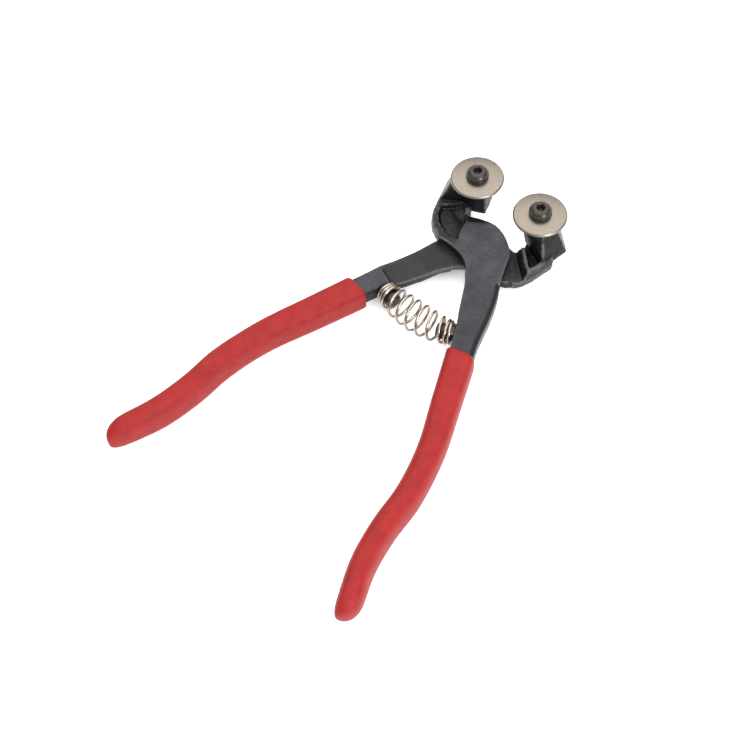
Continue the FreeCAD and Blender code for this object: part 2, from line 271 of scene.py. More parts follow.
SHOULDER = {
    REAR: [(-14.3, -1.0), (-15.9, -6.0), (-17.7, -11.4), (-17.7, -11.4)],
    FRONT: [(-14.5, -1.0), (-16.4, -6.0), (-18.5, -11.2), (-18.5, -11.2)],
}
CROTCH = {
    REAR: [(-6.2, -17.0), (-6.2, -17.0), (-4.2, -14.8), (-1.6, -12.2), (1.6, -10.0), (5.0, -8.4)],
    FRONT: [(-5.6, -15.6), (-5.6, -15.6), (-3.6, -13.0), (-0.4, -10.0), (4.0, -8.0)],
}
HEEL = {
    REAR: [(9.0, -7.4), (14.0, -7.3), (18.2, -6.0), (21.6, -2.2), (21.6, -2.2)],
    FRONT: [(9.0, -7.2), (14.0, -7.0), (18.4, -5.2), (21.6, -1.6), (21.6, -1.6)],
}
THROAT = {
    REAR: [(12.8, 8.0), (12.8, 8.0), (10.4, 8.0), (6.4, 9.4), (1.9, 10.7)],
    FRONT: [(12.9, 9.8), (12.9, 9.8), (10.6, 9.8), (7.0, 10.9), (2.2, 11.4)],
}
HEAD = [(-2.4, 10.7), (-6.8, 8.7), (-11.1, 5.3), (-13.6, 1.8)]
ROOT = {
    REAR: [(12.7, 7.9), (12.7, 7.9), (11.0, 5.0), (11.0, 5.0), (20.4, -5.2), (20.4, -5.2), (22.6, -3.0),
           (24.3, 0.2), (25.6, 4.5), (26.8, 9.0), (27.7, 12.0), (27.7, 12.0), (18.6, 15.4), (18.6, 15.4),
           (13.6, 14.0), (13.6, 14.0), (14.0, 11.4), (13.6, 9.4)],
    FRONT: [(12.7, 9.4), (12.7, 9.4), (11.4, 5.0), (11.4, 5.0), (19.4, -4.6), (19.4, -4.6), (21.6, -2.6),
            (23.1, -0.6), (24.5, 1.9), (25.7, 5.4), (26.6, 9.0), (27.2, 12.0), (27.2, 12.0), (18.6, 15.4),
            (18.6, 15.4), (14.4, 14.0), (12.9, 11.8)],
}
FRONT_POCKET = [(23.2, 6.0), (23.2, 6.0), (21.9, 2.4), (18.9, -1.0), (14.5, -3.4), (10.3, -4.4),
                (7.9, -3.4), (8.6, -1.6), (9.6, 1.8), (10.2, 5.0), (11.4, 7.4), (13.4, 9.4),
                (16.0, 12.0), (17.4, 11.6), (17.4, 11.6)]
REAR_POCKET = [(15.3, 9.6), (17.0, 8.0), (19.8, 5.1), (22.4, 2.4), (22.4, 2.4), (23.8, 3.8), (24.5, 7.4),
               (24.5, 7.4), (22.3, 9.8), (16.8, 12.0), (13.4, 13.8), (14.0, 11.4)]
# nose sections: both have the same number of points, so that the block can be drawn between them
NOSE_FOOT = {
    REAR: [(29.4, 19.2), (20.8, 27.2), (16.4, 28.2), (13.4, 25.8), (12.4, 21.8), (12.0, 17.0), (13.0, 13.4),
           (16.8, 11.5), (22.2, 9.4), (26.3, 6.6)],
    FRONT: [(30.4, 19.2), (20.8, 27.2), (16.4, 28.2), (12.0, 26.6), (9.9, 22.8), (7.4, 14.6), (11.0, 13.0),
            (13.2, 12.6), (16.6, 13.4), (26.7, 6.6)],
}
NOSE_SEAT = {
    REAR: [(24.0, 17.6), (19.6, 23.9), (15.6, 25.6), (13.0, 23.6), (12.0, 20.6), (11.5, 15.4), (12.0, 11.4),
           (15.0, 10.5), (18.8, 10.7), (21.7, 11.7)],
    FRONT: [(25.0, 17.6), (19.6, 23.9), (15.6, 25.6), (12.4, 24.4), (10.4, 21.8), (8.9, 15.4), (11.0, 12.6),
            (14.6, 11.4), (18.6, 11.0), (22.6, 11.7)],
}


# the arms: places along the bar from the rivet, and there the distance of a side from the rivet's line
ARM_START, ARM_END = 13.0, 58.0
ARM_OUTER = {
    REAR: ([13, 21, 24, 28, 32, 39, 44, 58], [12.0, 11.4, 11.3, 10.8, 10.4, 10.1, 9.8, 9.4]),
    FRONT: ([14, 22, 28, 34, 40, 45, 58], [12.3, 13.0, 12.8, 12.2, 11.3, 10.6, 9.9]),
}
ARM_INNER = {
    REAR: ([12, 16.7, 21, 25, 33, 39, 50, 58], [-3.4, -2.0, -1.3, -0.9, -0.2, 0.7, 0.75, 1.2]),
    FRONT: ([12, 14.5, 17, 21, 33, 39, 50, 58], [-2.6, -2.0, -1.3, -0.7, 0.0, 0.7, 0.75, 1.2]),
}
ARM_BOTTOM = {REAR: ([20, 28], [0, 1.0]), FRONT: ([20, 24], [LAP_FACE, 2.5])}
# the rear arm's top: a ramp that rises to a small step, with the cuff's flat beyond it
RAMP_START, RAMP_LENGTH, RAMP_RISE = 23.6, 15.0, 3.0
STEP_FOOT, STEP_HEAD, STEP_HEIGHT = 38.2, 38.8, 7.5
# where one finish of the rear arm's top gives way to the next, and how far each is ground
FACET_PLACES = [22.8, 23.4, 38.0, 38.6]
FACET_SHARES = [0.15, 0.30, 0.30, 1.0]


def arm_top(side, along, out):
    """Height of the arm's top. The rear one leaves its lap on a twisted ramp that ends in a small step."""
    if side == FRONT:
        return np.full(np.broadcast(along, out).shape, JOINT_FACE)
    climb = np.clip((along - RAMP_START) / RAMP_LENGTH, 0, 1)
    ramp_top = LAP_FACE + RAMP_RISE * climb * np.clip(0.15 + 0.095 * out, 0.1, 1)
    step = np.interp(along, [STEP_FOOT, STEP_HEAD], [0, STEP_HEIGHT])
    return np.where(along > STEP_HEAD, STEP_HEIGHT, np.maximum(ramp_top, step))


def arm_field(side, u, y, z):
    """The bare arm: a tapering bar that ends inside the grip."""
    along = -u * math.sin(ARM_ANGLE) - y * math.cos(ARM_ANGLE)
    out = -u * math.cos(ARM_ANGLE) + y * math.sin(ARM_ANGLE)
    outer = np.interp(along, *ARM_OUTER[side])
    inner = np.interp(along, *ARM_INNER[side])
    bottom = np.interp(along, *ARM_BOTTOM[side])
    if side == REAR:
        # the inner wall leans in below the lap's face near the crotch
        inner = inner + np.clip((26 - along) / 8, 0, 1) * 0.33 * np.clip(LAP_FACE - z, 0, LAP_FACE)
    ends = np.maximum(ARM_START - along, along - ARM_END)
    flat = np.maximum(np.maximum(out - outer, inner - out), ends)
    top = arm_top(side, along, out)
    # the top's inner edge is broken at a slant, beyond the ramp on the rear arm
    slant = np.clip((along - 37.0) / 2.0, 0, 1) * 0.8 if side == REAR else 0.1
    bevel = (inner + slant - out) * 0.86 + (z - top) * 0.5
    if side == FRONT:
        bevel = np.maximum(bevel, (out - outer + 1.9) * 0.55 + (z - top) * 0.83)
    return smooth_max(np.maximum(flat, bevel), np.maximum(bottom - z, (z - top) * 0.95), 0.4)


def nose_field(side, u, y, z):
    """The block under the wheel, drawn from its foot to its seat, with a round flange under the wheel."""
    field = np.full(np.broadcast(u, y, z).shape, 9.0)
    near_u = np.flatnonzero(u.ravel() > 3.0)
    near_y = np.flatnonzero(y.ravel() > 2.0)
    window = np.ix_(near_u, near_y)
    foot, seat = np.array(NOSE_FOOT[side]), np.array(NOSE_SEAT[side])
    levels = z.ravel()
    rows, columns = u[near_u, :, 0], y[:, near_y, 0]
    for level in np.flatnonzero((levels > NOSE_BASE - 1.5) & (levels < SEAT_HEIGHT + 1.5)):
        rise = np.clip((levels[level] - NOSE_BASE) / (SEAT_HEIGHT - NOSE_BASE), 0, 1)
        outline = foot * (1 - rise) + seat * rise
        field[:, :, level][window] = outline_field(outline, rows, columns)
    field = prism(field, z, NOSE_BASE, SEAT_HEIGHT, 0.7)
    flange = np.hypot(u - WHEEL_CENTRE[0], y - WHEEL_CENTRE[1]) - FLANGE_RADIUS
    return smooth_min(field, prism(flange, z, SEAT_HEIGHT - 1.6, SEAT_HEIGHT, 0.4), 1.2)


def past_line(u, y, point, normal):
    """How far a place lies past a straight line through a point, along the line's normal."""
    return (u - point[0]) * normal[0] + (y - point[1]) * normal[1]


def front_details(u, y, z, body):
    """The front jaw: a fall from the face to the throat, and the stepped teardrop pocket."""
    beyond = past_line(u, y, (9.63, 5.34), (0.509, 0.861))
    fall = (z - JOINT_FACE + 0.39 * beyond) * 0.93
    body = np.where((u < 13.0) & (y < 12.6) & (z > LAP_FACE), smooth_max(body, fall, 0.3), body)
    pocket = outline_field(curve_round(FRONT_POCKET), u, y)
    # ring-shaped steps climb from the pocket's floor towards the finger
    step_width, step_rise, step_count, pocket_depth = 1.05, 0.42, 4, 2.5
    steps = np.clip((6.6 - np.hypot(u - 13.6, y - 12.4)) / step_width, 0, step_count)
    step = np.floor(steps)
    climb = step + np.clip((steps - step) * 4 - 3, 0, 1)
    floor = JOINT_FACE - pocket_depth + step_rise * climb + 0.04 * (u - 12)
    hollow = smooth_max(pocket + 0.3 * (JOINT_FACE - z), floor - z, 0.3)
    return smooth_max(body, -hollow, 0.35)


def rear_details(u, y, z, body):
    """The rear jaw: a wall that leans away from the other lap, and a deep pocket behind its ridge."""
    beyond = past_line(u, y, (12.69, 7.68), (0.682, 0.731))
    wall = (z - LAP_FACE - 2.2 * beyond) * 0.41
    above_lap = z - LAP_FACE - 0.3
    body = np.where((u > 6) & (y < 11.5), smooth_max(body, np.minimum(wall, above_lap), 0.3), body)
    # the throat's wall leans back as it rises
    throat = past_line(u, y, (13.3, 9.2), (-0.85, 0.5)) + 0.36 * (z - LAP_FACE)
    body = np.where((u < 17.5) & (y < 13.0), smooth_max(body, np.minimum(throat, above_lap), 0.3), body)
    pocket = outline_field(curve_round(REAR_POCKET), u, y)
    hollow = smooth_max(pocket + 0.1 * (JOINT_FACE - z), 4.4 - z, 0.6)
    return smooth_max(body, -hollow, 0.3)


def lever_field(side, u, y, z):
    lap_low, lap_high = (0.0, LAP_FACE) if side == REAR else (LAP_FACE, JOINT_FACE)
    neck_outline = curve_round(SHOULDER[side] + CROTCH[side] + HEEL[side] + THROAT[side] + HEAD)
    neck_flat = outline_field(neck_outline, u, y)
    if side == REAR:
        # the crotch leans in towards the back
        lean = 0.42 * np.clip(LAP_FACE - z, 0, LAP_FACE)
        neck_flat = neck_flat + lean * np.clip((7 - u) / 4, 0, 1) * np.clip((-5 - y) / 2, 0, 1)
    neck = prism(neck_flat, z, lap_low, lap_high, 0.4)
    root_flat = outline_field(curve_round(ROOT[side]), u, y)
    # the outer wall leans in above and below the parting line, more so below
    lean = np.where(z > 4.5, 0.10, 0.12 if side == REAR else 0.42) * np.abs(z - 4.5)
    lean = lean * np.clip((u * 0.76 + y * 0.1 - 13.0) / 4.0, 0, 1)
    root = prism(root_flat + lean - 0.1, z, 0.3, JOINT_FACE, 0.9)
    # where the other lever's lap lies, the root stops along a straight wall
    clear_of_lap = 0.1 - past_line(u, y, (12.8, 8.4), (0.760, 0.650))
    beside_other_lap = z > LAP_FACE if side == REAR else z < LAP_FACE
    root = np.where(beside_other_lap, smooth_max(root, clear_of_lap, 0.3), root)
    if side == FRONT:
        # the root's low corner is rounded away behind the lap's level
        corner = (0.4 - y) * 0.9 + (2.0 - z) * 0.35
        root = np.where((u > 15) & (z < LAP_FACE), smooth_max(root, corner, 0.8), root)
    body = smooth_min(neck, root, 0.5)
    details = front_details if side == FRONT else rear_details
    body = details(u, y, z, body)
    body = smooth_min(body, nose_field(side, u, y, z), 0.5)
    return np.minimum(body, arm_field(side, u, y, z))


def soften(field, rounds):
    """Blurs a field a little along each axis, which rounds every edge."""
    for _ in range(rounds):
        for axis in range(3):
            middle = np.swapaxes(field, 0, axis)
            middle[1:-1] = 0.25 * middle[:-2] + 0.5 * middle[1:-1] + 0.25 * middle[2:]
    return field


def smoothstep(x, low, high):
    t = np.clip((x - low) / (high - low), 0, 1)
    return t * t * (3 - 2 * t)


def forge_lever(name, side, material):
    """Samples the lever's field and turns its surface into a mesh with a lightly uneven forged skin."""
    low = np.array([-34.0, -56.0, -1.5])
    high = np.array([31.5, 30.5, SEAT_HEIGHT + 1.2])
    axes = [np.arange(a, b, VOXEL) for a, b in zip(low, high)]
    u, y, z = axes[0][:, None, None], axes[1][None, :, None], axes[2][None, None, :]
    field = soften(lever_field(side, u, y, z).astype(np.float32), 1)
    wide = soften(field.copy(), 10)
    skin = 0.08 * value_noise(u, y, z, 2.4, 3 + side) + 0.07 * value_noise(u, y, z, 0.9, 7 + side)
    jaw = smoothstep(u + 0 * y, 10.0, 13.5) + smoothstep(y + 0 * u, 10.0, 12.0)
    field = field + np.clip(jaw, 0.1, 1.0) * skin
    points, faces = surface_net(field, low, VOXEL)
    nearest = tuple(np.rint((points - low) / VOXEL).astype(int).T)
    # the blurred field against the sharp one finds hollows and edges: it drives painted shade in the
    # hollows and edges painted lighter, partly wear and partly painted highlight
    hollow_shade_edge_wear_sheen = np.clip((wide[nearest] - field[nearest]) / 0.25, -1, 1)
    points[:, 0] *= side
    if side == FRONT:
        faces = faces[:, ::-1]
    piece = add_mesh(name, points, faces, material)
    normals = np.zeros(len(points) * 3)
    piece.data.vertices.foreach_get("normal", normals)
    level = smoothstep(normals.reshape(-1, 3)[:, 2], 0.93, 0.985)
    lap = 1 - smoothstep(side * points[:, 0] - 0.3 * points[:, 1], 8.5, 10.5)
    if side == REAR:
        along = -points[:, 0] * math.sin(ARM_ANGLE) - points[:, 1] * math.cos(ARM_ANGLE)
        facet = np.interp(along, FACET_PLACES, FACET_SHARES)
        lap = facet * np.maximum(lap, (points[:, 2] < LAP_FACE + 0.5) & (points[:, 1] < 9))
    else:
        # the front face's ground mark fades to 0.62 towards the arm, so the face is darker further from the
        # rivet
        lap = lap * np.interp(points[:, 1], [-25, 0], [0.62, 1.0])
    add_marks(piece, "ground", level * lap)
    add_marks(piece, "hollow_shade_edge_wear_sheen", 0.5 + 0.5 * hollow_shade_edge_wear_sheen)
    return piece


def add_marks(piece, name, values):
    """Stores a number on each point: ground is 1 on ground faces, and the other mark runs from hollows,
    which get painted shade, to edges, which are painted lighter, partly as wear and partly as a painted
    highlight.
    """
    marks = piece.data.attributes.new(name, "FLOAT", "POINT")
    marks.data.foreach_set("value", np.asarray(values, float))


# ---------------------------------------------------------------- materials

def new_material(name, base, roughness, metallic=0.0, **sockets):
    """Principled material with uniform values on the shader's own sockets."""
    material = bpy.data.materials.new(name)
    material.use_nodes = True
    nodes = material.node_tree.nodes
    shader = nodes["Principled BSDF"]
    shader.inputs["Base Color"].default_value = (*base, 1)
    shader.inputs["Roughness"].default_value = roughness
    shader.inputs["Metallic"].default_value = metallic
    for socket, value in sockets.items():
        shader.inputs[socket.replace("_", " ")].default_value = value
    return material, shader


def node(material, kind, **settings):
    made = material.node_tree.nodes.new(kind)
    for key, value in settings.items():
        if key in made.inputs:
            made.inputs[key].default_value = value
        else:
            setattr(made, key, value)
    return made


def link(material, source, target):
    material.node_tree.links.new(source, target)


def noise(material, scale, detail=4.0, stretch=(1, 1, 1), roughness=0.5):
    """Noise in the object's own coordinates; scale is the number of lumps in a millimetre."""
    where = node(material, "ShaderNodeTexCoord")
    mapping = node(material, "ShaderNodeMapping")
    mapping.inputs["Scale"].default_value = [s * scale / MM for s in stretch]
    texture = node(material, "ShaderNodeTexNoise", Scale=1.0, Detail=detail, Roughness=roughness)
    link(material, where.outputs["Object"], mapping.inputs["Vector"])
    link(material, mapping.outputs["Vector"], texture.inputs["Vector"])
    return texture.outputs["Fac"]


def ramp(material, fac, stops):
    """Colour ramp from (position, colour) stops."""
    made = node(material, "ShaderNodeValToRGB")
    elements = made.color_ramp.elements
    while len(elements) < len(stops):
        elements.new(0.5)
    for element, (position, colour) in zip(elements, stops):
        element.position = position
        element.color = (*colour, 1) if len(colour) == 3 else colour
    link(material, fac, made.inputs["Fac"])
    return made.outputs["Color"]


def span(material, fac, low, high, start=0.3, end=0.7):
    made = node(material, "ShaderNodeMapRange")
    for socket, value in (("From Min", start), ("From Max", end), ("To Min", low), ("To Max", high)):
        made.inputs[socket].default_value = value
    link(material, fac, made.inputs["Value"])
    return made.outputs["Result"]


def mix_value(material, fac, low, high):
    made = node(material, "ShaderNodeMix")
    link(material, fac, made.inputs[0])
    link(material, low, made.inputs[2])
    link(material, high, made.inputs[3])
    return made.outputs[0]


def mix_colour(material, fac, low, high):
    made = node(material, "ShaderNodeMix")
    made.data_type = "RGBA"
    link(material, fac, made.inputs[0])
    link(material, low, made.inputs[6])
    link(material, high, made.inputs[7])
    return made.outputs[2]


def bump(material, shader, height, strength, distance, before=None):
    made = node(material, "ShaderNodeBump", Strength=strength, Distance=distance * MM)
    link(material, height, made.inputs["Height"])
    if before is not None:
        link(material, before, made.inputs["Normal"])
    link(material, made.outputs["Normal"], shader.inputs["Normal"])
    return made.outputs["Normal"]


def mark(material, name):
    made = node(material, "ShaderNodeAttribute")
    made.attribute_name = name
    return made.outputs["Fac"]


def coated_steel():
    """Black forged skin with painted shade in its hollows and edges painted lighter, partly wear and partly
    painted highlight, and satin grey where it is ground.
    """
    material, shader = new_material("coated_forging", (0.01, 0.01, 0.011), 0.45, 0.0,
                                    Specular_IOR_Level=0.16)
    ground = mark(material, "ground")
    patches, mottle = noise(material, 0.16, 5), noise(material, 0.8, 5, roughness=0.7)
    # this ramp paints shade into the hollows, near black, and paints the edges lighter, partly as wear and
    # partly as a painted highlight
    skin = ramp(material, mark(material, "hollow_shade_edge_wear_sheen"),
                [(0.15, (0.001, 0.001, 0.001)), (0.5, (0.007, 0.007, 0.008)),
                 (0.75, (0.013, 0.013, 0.014)), (0.97, (0.07, 0.07, 0.07))])
    face = ramp(material, patches, [(0.3, (0.024, 0.025, 0.029)), (0.7, (0.044, 0.045, 0.051))])
    worn = ramp(material, mottle, [(0.35, (0.75, 0.75, 0.75)), (0.65, (1.15, 1.15, 1.15))])
    tone = node(material, "ShaderNodeMix", data_type="RGBA", blend_type="MULTIPLY")
    tone.inputs[0].default_value = 1.0
    link(material, mix_colour(material, ground, skin, face), tone.inputs[6])
    link(material, worn, tone.inputs[7])
    link(material, tone.outputs[2], shader.inputs["Base Color"])
    grain = noise(material, 2.0, 3)
    scratches = noise(material, 0.5, 3, (6.0, 0.6, 1.0))
    link(material, mix_value(material, ground, span(material, grain, 0.28, 0.48),
                             span(material, scratches, 0.36, 0.52)), shader.inputs["Roughness"])
    first = bump(material, shader, noise(material, 0.7, 4), 0.4, 0.12)
    second = bump(material, shader, grain, 0.45, 0.06, first)
    bump(material, shader, scratches, 0.12, 0.03, second)
    return material


def dipped_plastic():
    """Red dipped plastic: dull satin with faint mottling and tiny pits."""
    material, shader = new_material("dipped_plastic", (0.215, 0.009, 0.0085), 0.6, 0.0,
                                    Specular_IOR_Level=0.17)
    patches = noise(material, 0.2, 8, roughness=0.75)
    link(material, ramp(material, patches, [(0.30, (0.160, 0.0065, 0.006)), (0.5, (0.212, 0.0095, 0.0088)),
                                            (0.7, (0.250, 0.0125, 0.0115))]), shader.inputs["Base Color"])
    fine = noise(material, 1.6, 4)
    link(material, span(material, fine, 0.46, 0.66), shader.inputs["Roughness"])
    first = bump(material, shader, noise(material, 0.35, 4), 0.35, 0.14)
    bump(material, shader, fine, 0.45, 0.06, first)
    return material


def ground_wheel():
    """Dull nickel with fine grinding marks and faint spots."""
    material, shader = new_material("ground_wheel", (0.2, 0.17, 0.14), 0.36, 1.0)
    grain = noise(material, 1.3, 4, (0.35, 4.0, 1.0), 0.6)
    spots = noise(material, 2.2, 5, roughness=0.75)
    tone = node(material, "ShaderNodeMath", operation="ADD")
    link(material, grain, tone.inputs[0])
    link(material, spots, tone.inputs[1])
    link(material, ramp(material, span(material, tone.outputs[0], 0, 1, 0.8, 1.2),
                        [(0.1, (0.165, 0.141, 0.115)), (0.5, (0.196, 0.169, 0.140)),
                         (0.9, (0.220, 0.192, 0.162))]),
         shader.inputs["Base Color"])
    link(material, span(material, spots, 0.34, 0.46), shader.inputs["Roughness"])
    bump(material, shader, grain, 0.2, 0.03)
    return material


def black_oxide():
    material, shader = new_material("black_oxide", (0.016, 0.012, 0.009), 0.32, 0.0, Specular_IOR_Level=0.4)
    grain = noise(material, 3.0, 3)
    link(material, span(material, grain, 0.26, 0.40), shader.inputs["Roughness"])
    bump(material, shader, grain, 0.15, 0.02)
    return material


def nickel_wire():
    material, shader = new_material("nickel_wire", (0.33, 0.28, 0.23), 0.24, 1.0)
    grain = noise(material, 1.2, 3)
    link(material, span(material, grain, 0.18, 0.34), shader.inputs["Roughness"])
    bump(material, shader, grain, 0.08, 0.01)
    return material


# ---------------------------------------------------------------- pieces

def make_wheel(name, side, material):
    """Thin disc with ground bevels. The screw's head and the seat cover its plain middle."""
    bevel = 0.55
    top, low, r = WHEEL_TOP, WHEEL_LOW.z, WHEEL_RADIUS
    rounding = 0.06
    profile = [(3.1, low), (r - bevel - rounding, low), (r - bevel + rounding, low + rounding),
               (r - rounding, low + bevel - rounding), (r, low + bevel + rounding),
               (r, top - bevel - rounding), (r - rounding, top - bevel + rounding),
               (r - bevel + rounding, top - rounding), (r - bevel - rounding, top), (3.1, top)]
    return lathe(name, profile, (side * WHEEL_CENTRE[0], WHEEL_CENTRE[1]), material, 192)


def make_screw(name, side, material):
    """Domed socket head: rim, dome, flat ring and a hexagon socket, with a shoulder under it."""
    base, top, r = WHEEL_TOP, SCREW_TOP, 4.5
    flats = 1.5
    profile = [(2.9, SEAT_HEIGHT + 0.05), (2.9, base), (4.1, base), (r - 0.1, base + 0.12), (r, base + 0.4),
               (r, top - 2.2), (r - 0.12, top - 1.75), (r - 0.5, top - 1.15), (r - 1.15, top - 0.5),
               (r - 1.9, top - 0.12), (r - 2.35, top), (2.02, top), (1.9, top - 0.08),
               (flats, top - 0.2), (flats, top - 0.6), (flats, top - 2.3), (0.4, top - 2.9)]
    hexagon = range(len(profile) - 4, len(profile) - 1)

    def shape(index, radius, angles):
        if index not in hexagon:
            return np.full(len(angles), radius)
        turned = (angles + 0.3) % (math.pi / 3) - math.pi / 6
        return radius / np.cos(turned)

    return lathe(name, profile, (side * WHEEL_CENTRE[0], WHEEL_CENTRE[1]), material, 144, shape)


def make_rivet(material):
    """Rivet with both heads ground almost flush."""
    proud, r = 0.02, 5.2
    profile = [(r - 0.25, -proud), (r, proud), (r, 0.4), (3.5, 1.7), (3.5, JOINT_FACE - 1.7),
               (r, JOINT_FACE - 0.4), (r, JOINT_FACE - proud), (r - 0.25, JOINT_FACE + proud)]
    piece = lathe("rivet", profile, (0, 0), material, 96)
    add_marks(piece, "ground", np.ones(len(piece.data.vertices)))
    # middle value: the rivet gets neither painted shade nor painted edge highlight
    add_marks(piece, "hollow_shade_edge_wear_sheen", np.full(len(piece.data.vertices), 0.5))
    return piece


def frames_along(path):
    """Tangent and two normals at each point of a path, without twist."""
    path = np.asarray(path)
    run = np.gradient(path, axis=0)
    run /= np.linalg.norm(run, axis=1)[:, None]
    normal = np.cross(run[0], [0.3, 0.2, 1.0])
    normals = []
    for step in run:
        normal = normal - step * (normal @ step)
        normal /= np.linalg.norm(normal)
        normals.append(normal)
    normals = np.array(normals)
    return run, normals, np.cross(run, normals)


def tube(name, path, radius, material, sides=14):
    run, across, up = frames_along(path)
    angles = np.linspace(0, 2 * math.pi, sides, endpoint=False)
    rings = [p + radius * (np.outer(np.cos(angles), a) + np.outer(np.sin(angles), b))
             for p, a, b in zip(path, across, up)]
    faces = grid_faces(len(path), sides)
    faces.append(tuple(range(sides))[::-1])
    last = (len(path) - 1) * sides
    faces.append(tuple(range(last, last + sides)))
    return add_mesh(name, np.concatenate(rings), [f[::-1] for f in faces], material)


STUD_REACH, STUD_RADIUS = 7.4, 3.2
TAIL_LENGTH, TAIL_RADIUS = 5.0, 2.0


def stud_frame(side):
    """Foot of a stud on its arm, and the direction in which it points, from the CAD stud's box."""
    low, high = node_size("rear_spring_stud" if side == REAR else "front_spring_stud")
    cosine, sine = math.cos(ARM_ANGLE), math.sin(ARM_ANGLE)
    behind = TAIL_LENGTH * cosine + TAIL_RADIUS * sine
    x = low.x + behind if side == REAR else high.x - behind
    y = high.y - TAIL_LENGTH * sine - TAIL_RADIUS * cosine
    return Vector((x, y, (low.z + high.z) / 2)), Vector((side * cosine, -sine, 0))


def make_stud(name, side, material):
    """Round stud with a rounded tip and a tail that goes into the arm."""
    foot, inward = stud_frame(side)
    tip, r = STUD_REACH, STUD_RADIUS
    piece = lathe(name, [(TAIL_RADIUS, -TAIL_LENGTH), (TAIL_RADIUS, 0.1), (r - 0.15, 0.1), (r, 0.25),
                         (r, tip - 1.25), (r - 0.12, tip - 0.8), (r - 0.4, tip - 0.4),
                         (r - 0.85, tip - 0.1),
                         (r - 1.3, tip), (0.3, tip)], (0, 0), material, 64)
    turn = Vector((0, 0, 1)).rotation_difference(inward).to_matrix().to_4x4()
    piece.data.transform(Matrix.Translation(foot * MM) @ turn)
    return piece


# wire radius, gap from the arm to the first coil's middle, and how long the coil follows a stud's axis
SPRING_WIRE, SPRING_SEAT, SPRING_LEAD = 0.6, 0.8, 8.4
SPRING_TURNS, CLOSED_TURNS, CLOSED_PITCH = 11.0, 2.4, 1.32
SPRING_END_RADIUS, SPRING_BULGE = 4.0, 1.95
POINTS_PER_TURN, PITCH_BLEND = 44, 10


def spring_path():
    """Barrel coil that leaves each stud along the stud's own axis, with closed coils at both ends."""
    (rear_foot, leave), (front_foot, arrive) = stud_frame(REAR), stud_frame(FRONT)
    first, last = np.array(rear_foot + leave * SPRING_SEAT), np.array(front_foot + arrive * SPRING_SEAT)
    corners = [first, first + np.array(leave) * SPRING_LEAD, last + np.array(arrive) * SPRING_LEAD, last]
    t = np.linspace(0, 1, 200)[:, None]
    axis = sum(weight * corner for weight, corner in
               zip(((1 - t) ** 3, 3 * t * (1 - t) ** 2, 3 * t ** 2 * (1 - t), t ** 3), corners))
    reach = np.concatenate([[0], np.cumsum(np.linalg.norm(np.diff(axis, axis=0), axis=1))])
    run = np.gradient(axis, axis=0)
    length, shut = reach[-1], CLOSED_TURNS * CLOSED_PITCH
    turns = np.linspace(0, SPRING_TURNS, int(SPRING_TURNS * POINTS_PER_TURN) + 1)
    along = np.interp(turns, [0, CLOSED_TURNS, SPRING_TURNS - CLOSED_TURNS, SPRING_TURNS],
                      [0, shut, length - shut, length])
    # the pitch opens gradually past the closed coils
    window = 2 * PITCH_BLEND + 1
    along = np.convolve(np.pad(along, PITCH_BLEND, "edge"), np.ones(window) / window, "valid")
    points = []
    for turn, place_along in zip(turns, along):
        centre = np.array([np.interp(place_along, reach, axis[:, k]) for k in range(3)])
        direction = np.array([np.interp(place_along, reach, run[:, k]) for k in range(3)])
        direction /= np.linalg.norm(direction)
        across = np.cross([0, 0, 1], direction)
        across /= np.linalg.norm(across)
        up = np.cross(direction, across)
        radius = SPRING_END_RADIUS + SPRING_BULGE * math.sin(math.pi * place_along / length) ** 0.9
        angle = 2 * math.pi * turn
        points.append(centre + radius * (across * math.cos(angle) + up * math.sin(angle)))
    return np.array(points), first, last


# distance out from the centre line, distance back from the rivet, half width, half height
GRIP_STATIONS = [
    (25.1, 45.0, 5.9, 6.3), (32.2, 62.4, 5.7, 6.5), (41.3, 85.4, 5.25, 7.0), (45.25, 102.5, 5.05, 7.7),
    (46.4, 117.7, 4.8, 7.9), (49.5, 133.1, 4.7, 7.7), (53.4, 143.2, 4.6, 7.3),
]
# height of the middle, and how far the sleeve is moved out and thinned to follow its own bar
GRIP_LEVEL = {REAR: 4.3, FRONT: 4.9}
GRIP_SHIFT = {REAR: -0.1, FRONT: 0.3}
GRIP_TRIM = {REAR: 0.3, FRONT: 0.1}
TIP_LENGTH = {REAR: 9.6, FRONT: 8.4}


# the cuff's lip from its rim outwards: how far back it lies, and how far inside the sleeve's side
CUFF_LIP = ((0.9, 2.2), (0.3, 1.7), (0.05, 1.1), (0.0, 0.75), (0.12, 0.4), (0.45, 0.14), (0.9, 0.03))
RINGS, RING_POINTS, TIP_RINGS = 150, 84, 16
BOXY, OVAL = 4.0, 2.4         # powers of the section's superellipse
CUFF_SKEW = 0.2


def spline(points, count):
    """Open smooth curve through stations, evenly spread by station distance."""
    stations = np.array(points, float)
    gaps = np.linalg.norm(np.diff(stations[:, :2], axis=0), axis=1)
    knots = np.concatenate([[0], np.cumsum(gaps)])
    slopes = np.gradient(stations, knots, axis=0)
    places = np.linspace(0, knots[-1], count)
    index = np.clip(np.searchsorted(knots, places, side="right") - 1, 0, len(gaps) - 1)
    width = gaps[index]
    t = ((places - knots[index]) / width)[:, None]
    width = width[:, None]
    start, end = stations[index], stations[index + 1]
    return ((2 * t ** 3 - 3 * t ** 2 + 1) * start + (t ** 3 - 2 * t ** 2 + t) * width * slopes[index]
            + (3 * t ** 2 - 2 * t ** 3) * end + (t ** 3 - t ** 2) * width * slopes[index + 1])


